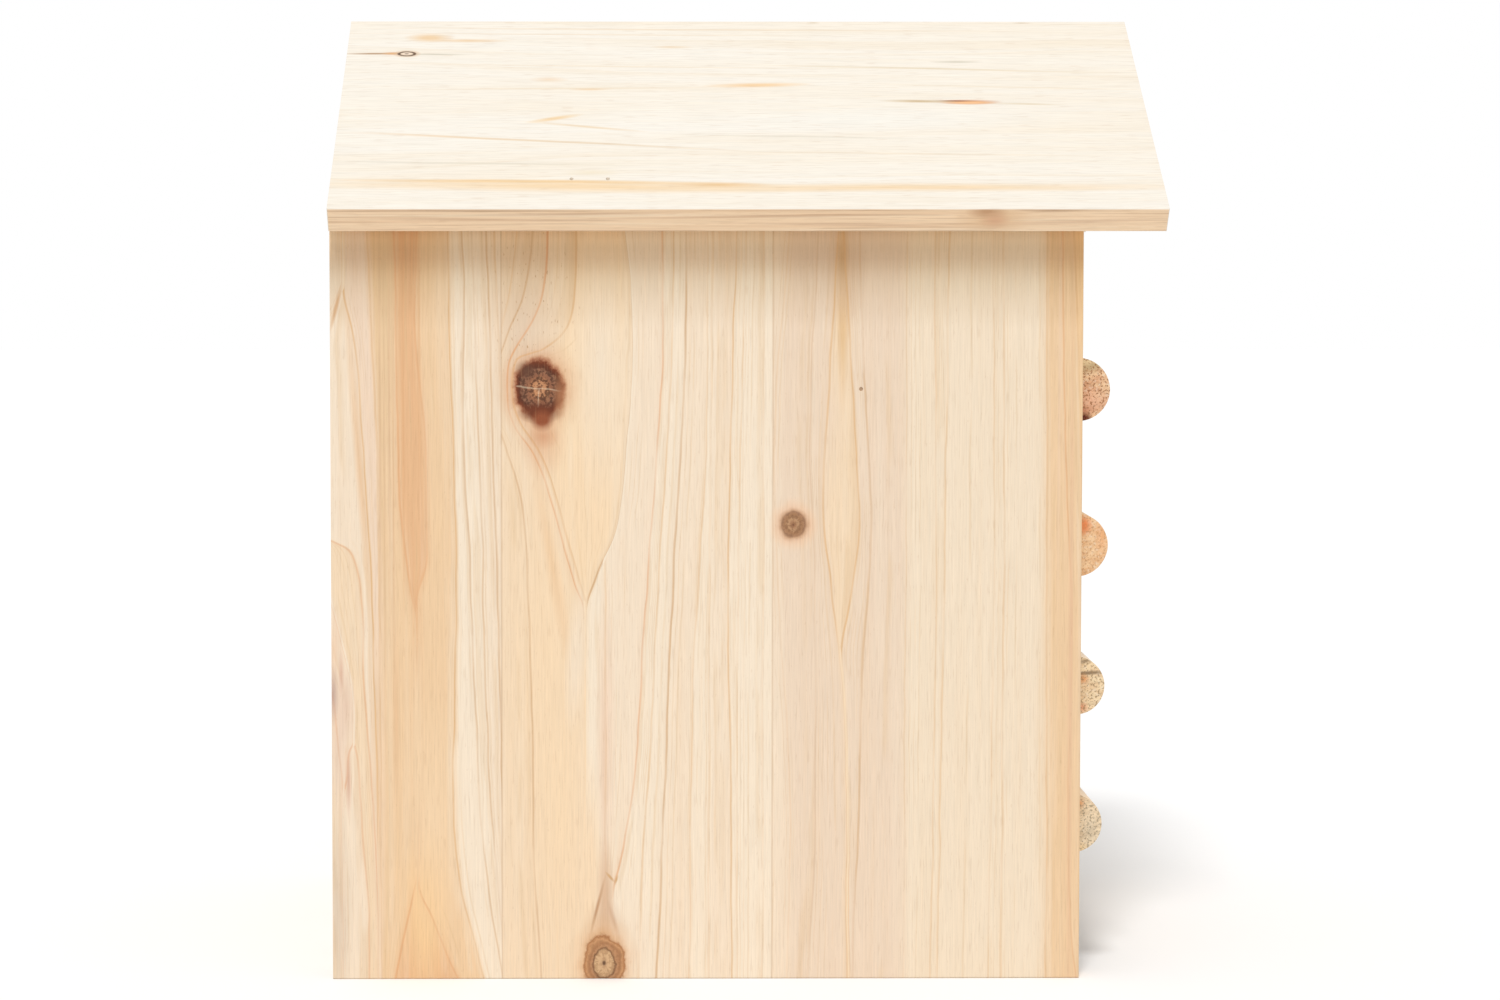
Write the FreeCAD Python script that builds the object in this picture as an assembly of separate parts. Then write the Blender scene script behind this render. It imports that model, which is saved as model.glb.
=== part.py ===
import FreeCAD, Part
import math
import os

# A bat house of fir boards: a box with a gable roof, open underneath, with roost boards
# standing one behind the other inside and half-round climbing bars across the front.
# X runs from the wall side (-X) to the front (+X), Y across the gable, Z up.
# The origin is under the middle of the roof's outline, level with the box's lower edges.
# All sizes are in millimetres.

# Box of side, back and front boards.
body_depth = 271.0            # back face to front face
body_width = 180.0            # over both side panels
wall_height = 274.0           # outer face of a side panel, base to roof
side_thickness = 10.0
back_thickness = 10.0
front_thickness = 10.0
entrance_height = 25.0        # open slot under the front board

# Roof of two boards, mitred plumb at the ridge and flush with the back.
roof_pitch = 36.35            # degrees from level
roof_thickness = 10.0
front_overhang = 29.0         # past the front board's face
eave_overhang = 10.0          # past a side panel's outer face

# Roost boards, slid down into stopped grooves in the side panels.
roost_count = 6
roost_thickness = 8.0
roost_bottom = 40.0           # lower edge, on the stopped end of the grooves
roost_height = 210.0
groove_depth = 3.0
roost_face_play = 0.2         # each face to its side of the groove
roost_end_play = 0.25         # each end to the floor of the groove
roost_nose = 1.0              # rounding of the lower edge

# Saw kerfs that give the bats a grip, across both faces of a roost board
# and across the inner face of the back board.
kerf_width = 2.0
kerf_depth = 1.2
kerf_spacing = 13.0
kerf_margin = 12.0            # plain strip below the first kerf and above the last
back_kerf_bottom = 6.0        # start of the kerfed field on the back board

# Half-round climbing bars on the front board, from the top one down.
bar_heights = [213.7, 156.9, 105.3, 54.5]
bar_radii = [11.7, 11.7, 10.9, 10.9]
bar_depths = [11.7, 11.3, 10.5, 9.8]     # flat face to crest
bar_setback = 1.0             # bar end to the side panel's inner face

# Keyhole for a wall screw, through the back board under the ridge.
keyhole_drop = 52.0           # underside of the ridge to the head hole's centre
keyhole_rise = 13.0           # head hole's centre to the slot's upper centre
keyhole_head_radius = 5.0
keyhole_slot_radius = 2.5

# Headless pins: two through each roof board into a side panel, one through each
# side panel into the edge of a roost board, and two through each bar.
pin_radius = 0.65
pin_clearance = 0.05
pin_length = 30.0
pin_set = 0.6                 # end of the pin below the surface
roof_pin_first = 86.8         # from the roof's back end
roof_pin_spacing = 13.1
roost_pin_board = 5           # counted from the back
roost_pin_height = 214.5
bar_pin_length = 18.0
bar_pin_spacing = 110.0

ease = 0.6                    # rounding of the outer arrises

# Places that follow from the sizes above.
roof_length = body_depth + front_overhang
back_x = -roof_length / 2
front_x = back_x + body_depth
roof_front_x = back_x + roof_length
cavity_back_x = back_x + back_thickness
cavity_front_x = front_x - front_thickness
outer_y = body_width / 2
inner_y = outer_y - side_thickness
eave_y = outer_y + eave_overhang
slope = math.tan(math.radians(roof_pitch))
roof_plumb = roof_thickness / math.cos(math.radians(roof_pitch))
chamber = (cavity_front_x - cavity_back_x - roost_count * roost_thickness) / (roost_count + 1)
roost_top = roost_bottom + roost_height
pin_y = outer_y - side_thickness / 2
sides = {"left": -1, "right": 1}


def vec(x, y, z):
    return FreeCAD.Vector(x, y, z)


def under_roof(y):
    """Height of the roof boards' underside at a distance y from the ridge plane."""
    return wall_height + (outer_y - abs(y)) * slope


def over_roof(y):
    """Height of the roof boards' upper face at a distance y from the ridge plane."""
    return under_roof(y) + roof_plumb


def block(x0, x1, y0, y1, z0, z1):
    """Upright block between two opposite corners."""
    return Part.makeBox(x1 - x0, y1 - y0, z1 - z0, vec(x0, y0, z0))


def along_x(outline, x0, x1):
    """Solid with a (y, z) outline, running from x0 to x1."""
    points = [vec(x0, y, z) for y, z in outline]
    face = Part.Face(Part.makePolygon(points + points[:1]))
    return face.extrude(vec(x1 - x0, 0, 0))


def round_edges(shape, radius, chosen):
    """Round the straight edges whose two ends both pass the test."""
    edges = [e for e in shape.Edges if all(chosen(v.Point) for v in e.Vertexes)]
    return shape.makeFillet(radius, edges)


def near(a, b):
    return abs(a - b) < 1e-4


def roost_x(number):
    """Back face of a roost board, counted from 1 at the back."""
    return cavity_back_x + number * chamber + (number - 1) * roost_thickness


def kerf_heights(bottom, top):
    """Middle heights of the kerfs in a field, evenly spaced and centred in it."""
    room = top - bottom - 2 * kerf_margin
    gaps = max(int(room // kerf_spacing), 0)
    first = (bottom + top - gaps * kerf_spacing) / 2
    return [first + i * kerf_spacing for i in range(gaps + 1)]


def kerfs(face_x, inward, half_width, bottom, top):
    """Kerf cutters across a face at face_x; inward is the sign of the way into the board."""
    low_x = min(face_x, face_x + inward * kerf_depth)
    cutters = [
        block(low_x, low_x + kerf_depth, -half_width, half_width, z - kerf_width / 2, z + kerf_width / 2)
        for z in kerf_heights(bottom, top)
    ]
    return Part.makeCompound(cutters)


def pin(radius, start, direction, length):
    return Part.makeCylinder(radius, length, start, direction)


def roof_pin_xs():
    first = back_x + roof_pin_first
    return [first, first + roof_pin_spacing]


def roof_pin_row(side, radius, top):
    """Plumb pins, or their holes, over the middle of a side panel's upper edge."""
    y = side * pin_y
    tip = over_roof(y) - pin_set - pin_length
    return [pin(radius, vec(x, y, tip), vec(0, 0, 1), top - tip) for x in roof_pin_xs()]


def roost_pin(side, radius, start_y):
    """Level pin, or its hole, through a side panel into a roost board's edge."""
    x = roost_x(roost_pin_board) + roost_thickness / 2
    length = start_y - (outer_y - pin_set - pin_length)
    return pin(radius, vec(x, side * start_y, roost_pin_height), vec(0, -side, 0), length)


def roof_holes(side):
    return roof_pin_row(side, pin_radius + pin_clearance, over_roof(0))


def roost_pin_hole(side):
    return roost_pin(side, pin_radius + pin_clearance, outer_y + pin_set)


def grooves(side):
    """Cutters for the stopped grooves, open at the side panel's upper edge."""
    floor_y = inner_y + groove_depth
    low_y = min(side * inner_y, side * floor_y)
    cutters = []
    for number in range(1, roost_count + 1):
        x = roost_x(number)
        cutters.append(
            block(
                x - roost_face_play, x + roost_thickness + roost_face_play,
                low_y, low_y + groove_depth, roost_bottom, under_roof(0),
            )
        )
    return cutters


def side_panel(side):
    """Full-depth side board with its upper edge bevelled to the roof."""
    outline = [
        (side * outer_y, 0),
        (side * outer_y, wall_height),
        (side * inner_y, under_roof(inner_y)),
        (side * inner_y, 0),
    ]
    panel = along_x(outline, back_x, front_x)
    panel = round_edges(
        panel, ease,
        lambda p: near(p.y, side * outer_y) and (near(p.z, 0) or near(p.x, front_x)),
    )
    return panel.cut(grooves(side) + roof_holes(side) + [roost_pin_hole(side)])


def gable_board(x0, x1, bottom):
    """Board between the side panels, cut to the gable under the roof."""
    outline = [
        (-inner_y, bottom),
        (inner_y, bottom),
        (inner_y, under_roof(inner_y)),
        (0, under_roof(0)),
        (-inner_y, under_roof(inner_y)),
    ]
    return along_x(outline, x0, x1)


def keyhole():
    """Round head hole with a narrow slot rising from it."""
    head_z = under_roof(0) - keyhole_drop
    slot_z = head_z + keyhole_rise
    run = vec(1, 0, 0)
    head = Part.makeCylinder(keyhole_head_radius, back_thickness, vec(back_x, 0, head_z), run)
    end = Part.makeCylinder(keyhole_slot_radius, back_thickness, vec(back_x, 0, slot_z), run)
    slot = block(back_x, cavity_back_x, -keyhole_slot_radius, keyhole_slot_radius, head_z, slot_z)
    return head.fuse([end, slot])


def back_board():
    board = gable_board(back_x, cavity_back_x, 0)
    return board.cut([kerfs(cavity_back_x, -1, inner_y, back_kerf_bottom, roost_top), keyhole()])


def front_board():
    """Front board with both lower arrises rounded over the entrance slot."""
    board = gable_board(cavity_front_x, front_x, entrance_height)
    for x in (cavity_front_x, front_x):
        board = round_edges(board, ease, lambda p: near(p.z, entrance_height) and near(p.x, x))
    return board.cut([hole for index in range(len(bar_heights)) for hole in bar_pin_holes(index)])


def roof_board(side):
    """One slope: plumb at the ridge, square-cut at the eave."""
    pitch = math.radians(roof_pitch)
    foot = (eave_y - roof_thickness * math.sin(pitch), over_roof(eave_y) - roof_thickness * math.cos(pitch))
    outline = [
        (0, under_roof(0)),
        (0, over_roof(0)),
        (side * eave_y, over_roof(eave_y)),
        (side * foot[0], foot[1]),
    ]
    board = along_x(outline, back_x, roof_front_x)
    board = round_edges(
        board, ease,
        lambda p: near(p.y, side * eave_y) or (near(p.z, foot[1]) and near(p.y, side * foot[0])),
    )
    return board.cut(roof_holes(side))


def roost_board(number):
    """Thin board with kerfs across both faces and a rounded lower edge."""
    x0 = roost_x(number)
    x1 = x0 + roost_thickness
    half = inner_y + groove_depth - roost_end_play
    board = block(x0, x1, -half, half, roost_bottom, roost_top)
    board = round_edges(board, roost_nose, lambda p: near(p.z, roost_bottom) and near(abs(p.y), half))
    cutters = [kerfs(x0, 1, half, roost_bottom, roost_top), kerfs(x1, -1, half, roost_bottom, roost_top)]
    if number == roost_pin_board:
        cutters += [roost_pin_hole(side) for side in sides.values()]
    return board.cut(cutters)


def bar_pin_pair(index, radius, end_x):
    """Level pins, or their holes, through a bar's crest into the front board."""
    z = bar_heights[index]
    tip_x = front_x + bar_depths[index] - pin_set - bar_pin_length
    ys = [-bar_pin_spacing / 2, bar_pin_spacing / 2]
    return [pin(radius, vec(tip_x, y, z), vec(1, 0, 0), end_x - tip_x) for y in ys]


def bar_pin_holes(index):
    return bar_pin_pair(index, pin_radius + pin_clearance, front_x + bar_depths[index] + pin_set)


def bar_pins(index):
    return bar_pin_pair(index, pin_radius, front_x + bar_depths[index] - pin_set)


def bar(index):
    """Half-round bar with its flat face on the front board."""
    radius = bar_radii[index]
    z = bar_heights[index]
    half = inner_y - bar_setback
    centre_x = front_x + bar_depths[index] - radius
    rod = Part.makeCylinder(radius, 2 * half, vec(centre_x, -half, z), vec(0, 1, 0))
    front_half = block(front_x, front_x + 2 * radius, -half, half, z - radius, z + radius)
    return rod.common(front_half).cut(bar_pin_holes(index))


def save(name, shape):
    """Write one node, refusing a shape that isn't sound."""
    if not shape.isValid() or not shape.Solids:
        raise ValueError(name + " is not a sound solid")
    shape.exportStep("parts/" + name + ".step")


def main():
    os.makedirs("parts", exist_ok=True)
    for name, side in sides.items():
        save("side_panel_" + name, side_panel(side))
        save("roof_board_" + name, roof_board(side))
    save("back_board", back_board())
    save("front_board", front_board())
    for number in range(1, roost_count + 1):
        save("roost_board_" + str(number), roost_board(number))
    for index in range(len(bar_heights)):
        save("bar_" + str(index + 1), bar(index))
    roof_pins = [p for side in sides.values()
                 for p in roof_pin_row(side, pin_radius, over_roof(pin_y) - pin_set)]
    save("roof_pins", Part.makeCompound(roof_pins))
    roost_pins = [roost_pin(side, pin_radius, outer_y - pin_set) for side in sides.values()]
    save("roost_pins", Part.makeCompound(roost_pins))
    save("bar_pins", Part.makeCompound([p for index in range(len(bar_heights)) for p in bar_pins(index)]))


main()
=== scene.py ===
import math

import bpy
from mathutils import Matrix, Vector


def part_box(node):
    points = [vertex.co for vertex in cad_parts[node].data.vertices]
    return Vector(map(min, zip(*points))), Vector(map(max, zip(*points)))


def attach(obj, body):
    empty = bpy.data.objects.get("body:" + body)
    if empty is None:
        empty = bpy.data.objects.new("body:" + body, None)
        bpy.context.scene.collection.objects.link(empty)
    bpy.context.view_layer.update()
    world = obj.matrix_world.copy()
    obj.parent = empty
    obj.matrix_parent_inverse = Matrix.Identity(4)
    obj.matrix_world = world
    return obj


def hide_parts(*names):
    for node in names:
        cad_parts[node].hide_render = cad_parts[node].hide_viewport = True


bl_info = {
    "name": "Fir Bat House",
    "version": (1, 0, 0),
    "blender": (4, 5, 0),
    "location": "3D View > Sidebar > Bat House",
    "description": "Finishes a gabled bat house of glued fir boards on its packed frame",
    "category": "Add Mesh",
}

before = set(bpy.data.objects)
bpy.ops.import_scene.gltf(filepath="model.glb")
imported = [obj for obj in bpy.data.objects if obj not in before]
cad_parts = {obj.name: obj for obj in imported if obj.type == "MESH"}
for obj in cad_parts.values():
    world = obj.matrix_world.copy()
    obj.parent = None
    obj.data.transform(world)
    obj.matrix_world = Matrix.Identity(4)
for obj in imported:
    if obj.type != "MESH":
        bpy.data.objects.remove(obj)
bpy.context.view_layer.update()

MM = 0.001
BODY = "root"


def box_mm(node):
    """Lowest and highest corner of a node, in millimetres."""
    low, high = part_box(node)
    return low / MM, high / MM


# Places that the frame gives, in millimetres
SIDE_LOW = box_mm("side_panel_left")[0]
ROOF_LOW = box_mm("roof_board_left")[0]
FRONT_FACE = box_mm("front_board")[1].x
BACK_FACE = box_mm("back_board")[0].x
BARS = tuple(f"bar_{number}" for number in range(1, 5))
ROOSTS = tuple(f"roost_board_{number}" for number in range(1, 7))

# The roof boards as built, and where the near one's upper face meets its eave edge
ROOF_PITCH = math.radians(36.35)
ROOF_THICKNESS = 10
EAVE_Y = ROOF_LOW.y
EAVE_Z = ROOF_LOW.z + ROOF_THICKNESS * math.cos(ROOF_PITCH)

# The stage: half the floor's side in metres, the lamp's direction and spread, and the camera's place in
# millimetres, its turns down and to the right in degrees, its lens in millimetres and its shift
FLOOR_HALF = 6.0
KEY_FROM = (-0.10, -0.50, 0.866)
KEY_SPREAD = 12
CAMERA_PLACE = (-44.4, -1157.8, 268.6)
CAMERA_DOWN, CAMERA_RIGHT = 2.727, 0.352
CAMERA_LENS, CAMERA_SENSOR = 71.315, 36.0
CAMERA_SHIFT = (0.072, -0.08)

# Fir colours, as linear red, green and blue
CREAM = (0.915, 0.775, 0.605)
PALE = (0.90, 0.74, 0.565)
WHITE_WOOD = (0.93, 0.82, 0.66)
SAND = (0.89, 0.69, 0.48)
TAN = (0.855, 0.605, 0.37)
ORANGE = (0.80, 0.485, 0.265)
ROSE = (0.875, 0.68, 0.515)
HONEY = (0.92, 0.70, 0.465)
AMBER = (0.89, 0.60, 0.325)
LATE = (0.76, 0.485, 0.255)
DARK_LATE = (0.50, 0.29, 0.14)
FINE_LINE = (0.74, 0.51, 0.28)
KNOT_DARK = (0.115, 0.055, 0.035)
KNOT_GREY = (0.35, 0.25, 0.18)
MILK = (0.885, 0.735, 0.555)
MAUVE = (0.845, 0.672, 0.51)
EAVE_TAN = (0.965, 0.725, 0.49)
EAVE_PALE = (0.95, 0.77, 0.56)
EAVE_DARK = (0.86, 0.60, 0.385)
EAVE_LINE = (0.58, 0.37, 0.22)
ROOF_PALE = (0.865, 0.815, 0.73)
ROOF_WARM = (0.86, 0.79, 0.68)
FLOOR_BOUNCE = (0.85, 0.85, 0.85)

# How soon a patch or a gap is full towards its middle, and the most stops that a ramp holds
PATCH_GAIN = 1.6
GAP_GAIN = 2.5
MOST_STOPS = 32

# In millimetres: how far the piths of a board's staves stray, how far apart the spare lines stand that
# give each stave the same number, and how near a bar's end counts as its end
PITH_SPREAD = 70
SPARE_STEP = 6
END_REACH = 0.1

# The near side panel is glued of three staves. Its figure is a row of growth lines, left to right in
# each stave: (name of its colour, strength, wood to its right, points), and each point is
# (mm from the back edge, mm up from the foot). Lines that meet at a tip run on together.
PANEL_SPAN = 280
GLUE_LINES = (61.5, 159.3)
LINE_COLOURS = {"late": LATE, "dark": (0.62, 0.37, 0.18), "red": (0.76, 0.39, 0.19)}

# The lines that leave the panel at its back edge come back at this arch, well above
ARCH = [(-6, 228), (2, 246), (4.6, 253), (4.8, 280)]

BACK_STAVE = (PALE, [
    ("late", 0.9, PALE, [(-7, 225), *ARCH[1:]]),
    ("red", 0.55, PALE, [(4, 0), (4, 66), (2.2, 86), (0.4, 103), (-3, 112), (-6, 130), *ARCH]),
    ("red", 0.55, PALE, [(4, 0), (4, 66), (5.4, 74), (6.3, 83), (8, 87), (7.4, 105),
        (-2, 150), *ARCH]),
    ("red", 0.45, SAND, [(13.3, 0), (13.3, 19), (12.2, 38), (10.4, 65), (9.3, 80), (8, 87),
        (7.4, 105), (-2, 150), *ARCH]),
    ("red", 0.5, PALE, [(17, 0), (16.2, 42), (14, 78), (12, 105), (11.3, 136), (8.6, 152),
        (6.4, 156.5), (2, 159), (-4, 162), *ARCH]),
    ("late", 0.95, ROSE, [(17.1, 0), (16.6, 60), (15.3, 120), (14, 159), (10.8, 209), (8.6, 233),
        (4.8, 253), (4.9, 280)]),
    ("late", 0.55, TAN, [(17.4, 0), (17.4, 56), (17.5, 90), (17.4, 130), (17.1, 182), (14.8, 242),
        (13.4, 280)]),
    ("red", 0.6, ORANGE, [(22.8, 0), (26.6, 19), (29.5, 31), (31, 40), (31, 130), (28.9, 142),
        (25.3, 173), (24, 230), (23, 280)]),
    ("red", 0.65, TAN, [(45.6, 0), (41.1, 10), (36.5, 22), (31.4, 33.5), (31, 60), (31, 137),
        (34.6, 155), (34.5, 191), (30.4, 245), (32, 280)]),
    ("late", 0.9, CREAM, [(55, 0), (50.1, 19), (46.5, 33), (44, 70), (45.1, 137), (44.2, 200),
        (42.9, 236), (42.4, 280)]),
    ("dark", 0.5, CREAM, [(62, 0), (56.4, 33), (52.8, 83), (50.1, 150), (47.8, 209), (48.1, 250),
        (47.2, 280)]),
    ("dark", 0.4, PALE, [(63, 0), (58.2, 56), (55.5, 110), (54.6, 164), (51.9, 236), (51, 280)]),
    ("dark", 0.55, PALE, [(64, 0), (61.4, 83), (60, 150), (58.7, 190), (56.2, 280)]),
    ("late", 0.45, PALE, [(66, 0), (63, 180), (61, 218), (59, 280)]),
])

MIDDLE_STAVE = (SAND, [
    ("late", 0.55, SAND, [(57, 0), (57, 215), (61.6, 236), (65.4, 254), (68.4, 280)]),
    ("dark", 0.55, SAND, [(75.7, 0), (73.1, 47), (72.6, 90), (71, 140), (68.2, 177), (62.7, 195),
        (59.5, 205), (59.5, 220), (61.8, 229), (70, 250), (74, 280)]),
    ("red", 0.8, SAND, [(91.2, 0), (91.2, 134), (88, 144), (81.7, 167), (73.6, 191), (66, 202),
        (63.8, 212), (64.5, 224), (74.5, 242), (77.6, 257), (78.4, 280)]),
    ("late", 0.75, HONEY, [(91.4, 0), (91.4, 137), (89.3, 146), (83.4, 168), (75.4, 192), (67.6, 204),
        (65.5, 213), (67, 225), (77.2, 229), (86.2, 238), (88, 252), (88.4, 280)]),
    ("dark", 0.75, CREAM, [(91.6, 0), (91.6, 133), (96.1, 147), (102.9, 163), (106.1, 186),
        (108.9, 225), (108.3, 250), (106, 280)]),
    ("late", 0.3, PALE, [(91, 0), (94.3, 19), (99.3, 41), (99, 60), (99, 137), (98.4, 280)]),
    ("red", 0.65, CREAM, [(100.5, 0), (101, 24), (102.4, 35), (104.5, 42), (107, 56), (109.7, 78),
        (113.7, 137), (117.4, 191), (119.6, 225), (119.8, 280)]),
    ("late", 0.45, CREAM, [(111, 0), (112.8, 47), (116, 101), (118.7, 155), (122.8, 227),
        (123.9, 280)]),
    ("dark", 0.65, PALE, [(117.3, 0), (119.2, 38), (121, 92), (124.6, 168), (127.7, 227),
        (128.3, 280)]),
    ("late", 0.55, CREAM, [(129.5, 0), (130.5, 101), (133.2, 155), (135.4, 191), (136, 280)]),
    ("late", 0.3, PALE, [(136.3, 0), (136.6, 150), (137.6, 280)]),
    ("late", 0.75, CREAM, [(144.9, 0), (144.4, 83), (143.4, 137), (144.4, 200), (146.6, 280)]),
    ("late", 0.3, CREAM, [(146.6, 0), (147.1, 155), (150, 280)]),
])

FRONT_STAVE = (PALE, [
    ("late", 0.3, MAUVE, [(165, 0), (166, 60), (161, 150), (160, 190), (166, 280)]),
    ("dark", 0.35, MAUVE, [(172.3, 0), (175, 56), (174.6, 150), (173, 200), (176, 280)]),
    ("late", 0.8, SAND, [(186.6, 0), (186.8, 51), (184, 116), (181, 141), (177.8, 173), (179.7, 218),
        (182.4, 263), (183.7, 280)]),
    ("late", 0.8, MAUVE, [(187.3, 0), (187, 51), (184.2, 116), (187.8, 139), (190.9, 166),
        (188.2, 209), (185.1, 263), (184, 280)]),
    ("dark", 0.4, MAUVE, [(188.4, 0), (190.9, 65), (191.6, 107), (195, 166), (192, 220), (190, 280)]),
    ("late", 0.15, MILK, [(207.3, 0), (207.7, 280)]),
    ("late", 0.45, MILK, [(217, 0), (218.4, 140), (217.6, 280)]),
    ("late", 0.35, MILK, [(219.4, 0), (220.4, 80), (223, 280)]),
    ("late", 0.3, MILK, [(238, 0), (239.5, 150), (238.4, 280)]),
    ("late", 0.35, MILK, [(242.6, 0), (243, 150), (241.8, 280)]),
    ("late", 0.6, TAN, [(259.2, 0), (258.6, 140), (257.8, 280)]),
    ("red", 0.45, TAN, [(270, 0), (267.7, 26), (266.8, 60), (267.7, 124), (265, 191), (263.2, 280)]),
    ("late", 0.65, AMBER, [(274, 0), (272, 150), (269.5, 227), (267, 280)]),
])

STAVES = (BACK_STAVE, MIDDLE_STAVE, FRONT_STAVE)

# Where a growth line fades out: (mm up, mm from the back edge, half length, half width)
LINE_GAPS = (
    (86, 31, 62, 6), (62, 91.5, 76, 7), (14, 105, 24, 6), (18, 101.5, 18, 5),
)

# Torn fibre, given in the same way
TORN_PLACE = (243, 73, 40, 20)

# Soft patches under the growth lines: (mm up, mm from the back edge, half length, half width, colour,
# strength, and where it leans, the turn in degrees)
PANEL_PATCHES = (
    (120, 78, 75, 17, HONEY, 0.6), (60, 82, 60, 12, HONEY, 0.6),
    (232, 70, 46, 15, (0.8, 0.62, 0.45), 0.75), (25, 2, 40, 6, KNOT_GREY, 0.18),
    (110, 168, 90, 6, MAUVE, 0.6), (95, 23.3, 42, 1.7, (0.8, 0.53, 0.31), 0.6),
    (240, 20, 60, 5, (0.8, 0.575, 0.345), 0.6), (24, 33.5, 34, 10, AMBER, 0.9),
    (60, 37, 50, 12, HONEY, 0.35), (30, 98.5, 24, 3.6, (0.74, 0.51, 0.33), 0.6),
    (75, 98.5, 46, 1.9, (0.84, 0.63, 0.45), 0.6), (244, 184.3, 42, 2.4, (0.8, 0.55, 0.31), 0.9),
    (258, 185, 22, 9, (0.76, 0.55, 0.38), 0.6), (250, 40, 30, 6, SAND, 0.35),
    (205, 180, 30, 6, MAUVE, 0.4), (262, 174, 16, 14, (0.8, 0.62, 0.47), 0.35),
    (262, 184, 13, 3, (0.7, 0.46, 0.24), 0.6), (150, 80, 46, 3.2, (0.85, 0.57, 0.33), 0.45, -10),
    (100, 5, 14, 4, (0.8, 0.58, 0.44), 0.5), (186, 10.5, 74, 2.2, (0.82, 0.55, 0.33), 0.55, -4.5),
    (88, 2.5, 30, 5, (0.82, 0.6, 0.46), 0.45), (120, 1, 16, 3, (0.84, 0.6, 0.42), 0.5),
    (90, 99, 60, 4, (0.86, 0.64, 0.48), 0.5), (226, 97.5, 56, 12, (0.9, 0.765, 0.6), 0.5),
    (62, 16.8, 92, 1.5, (0.85, 0.62, 0.41), 0.9, -0.4),
    (74, 15.0, 80, 1.3, (0.86, 0.655, 0.465), 0.7, -1.4),
)

# The same, painted over the growth lines
PANEL_STAINS = (
    (84, 31, 54, 2.6, (0.865, 0.63, 0.4), 1.0), (118, 88.5, 30, 4.6, (0.9, 0.735, 0.55), 0.9, 4),
    (36, 93.5, 50, 5, (0.91, 0.7, 0.48), 0.9), (12, 110, 18, 6, PALE, 0.7),
    (196, 76.5, 15, 9, (0.72, 0.4, 0.22), 0.45), (15, 98.6, 15, 9.5, (0.62, 0.38, 0.22), 0.5),
    (30, 98.9, 24, 3.5, (0.7, 0.47, 0.31), 0.5), (26, 95.9, 13, 0.8, (0.56, 0.33, 0.19), 0.8, 14),
    (21, 102, 9, 1.2, (0.6, 0.36, 0.22), 0.45, -16),
    (37.3, 100.6, 2.9, 0.65, (0.66, 0.41, 0.21), 0.95, -41),
    (36.4, 102.9, 2.2, 0.6, (0.66, 0.41, 0.21), 0.8, 16),
    (244, 2.3, 10, 1.0, (0.74, 0.48, 0.28), 0.9, 14), (104, 0.6, 12, 2.2, (0.48, 0.31, 0.26), 0.5),
    (72, 6, 14, 1.3, (0.72, 0.45, 0.32), 0.6), (112, 3.5, 9, 1.2, (0.7, 0.42, 0.3), 0.5),
    (196, 17.8, 100, 0.7, (0.74, 0.5, 0.3), 0.6), (180, 19.4, 110, 0.6, (0.74, 0.5, 0.3), 0.5),
    (205, 21.2, 90, 0.7, (0.76, 0.51, 0.31), 0.6), (170, 22.6, 90, 0.6, (0.74, 0.48, 0.28), 0.5),
    (205, 26.2, 80, 0.8, (0.76, 0.43, 0.22), 0.5), (190, 29.6, 90, 0.7, (0.78, 0.46, 0.25), 0.4),
    (225, 32, 60, 0.7, (0.76, 0.44, 0.23), 0.4), (110, 267.2, 170, 1.2, (0.8, 0.53, 0.33), 0.7),
    (200, 262.5, 90, 0.8, (0.86, 0.62, 0.42), 0.5), (60, 272, 90, 0.9, (0.84, 0.6, 0.4), 0.5),
)

# The same, painted over the knots
KNOT_STAINS = (
    (206.0, 75.4, 4.4, 8.4, (0.17, 0.045, 0.02), 1.0), (203.2, 76.2, 4.4, 4.6, (0.3, 0.085, 0.036), 1.0),
    (212, 82.6, 10, 2.8, (0.4, 0.17, 0.08), 0.6), (197.5, 76.6, 5, 6.5, (0.66, 0.33, 0.18), 0.45),
    (221, 70.5, 4, 4.5, (0.14, 0.06, 0.035), 0.7, 40),
)

# Painted shade of the eave on the near panel, darkening the wood close under it: (mm up, level of red,
# green and blue)
EAVE_SHADE_PAINT = (
    (236, (1.0, 1.0, 1.0)), (247.7, (0.89, 0.865, 0.825)), (252.5, (0.825, 0.795, 0.735)),
    (255.5, (0.77, 0.72, 0.65)), (258.4, (0.7, 0.635, 0.545)), (261.5, (0.69, 0.6, 0.5)),
    (268, (0.86, 0.735, 0.585)),
)

# How a knot is painted from its centre outwards: (reach, colour, strength), where its rim is at reach 1
KNOT_REACH = 2.2
DARK_KNOT = (
    (0.0, (0.2, 0.072, 0.033), 1.0), (0.07, (0.24, 0.088, 0.04), 1.0), (0.12, (0.62, 0.304, 0.152), 1.0),
    (0.32, (0.5, 0.224, 0.106), 1.0), (0.5, (0.3, 0.125, 0.066), 1.0), (0.7, (0.32, 0.15, 0.086), 1.0),
    (0.8, (0.12, 0.038, 0.02), 1.0), (0.95, (0.2, 0.05, 0.02), 1.0), (1.05, (0.42, 0.144, 0.059), 0.85),
    (1.18, (0.66, 0.32, 0.152), 0.5), (1.5, (0.74, 0.4, 0.211), 0.22), (2.0, LATE, 0.0),
)
SMALL_KNOT = (
    (0.0, (0.16, 0.068, 0.036), 1.0), (0.14, (0.41, 0.204, 0.104), 1.0),
    (0.35, (0.524, 0.301, 0.16), 1.0), (0.6, (0.376, 0.194, 0.096), 1.0),
    (0.86, (0.41, 0.213, 0.112), 0.95), (1.02, (0.627, 0.349, 0.192), 0.75),
    (1.25, (0.844, 0.514, 0.312), 0.5), (1.6, (0.912, 0.582, 0.36), 0.25), (2.1, ROSE, 0.0),
)
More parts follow.
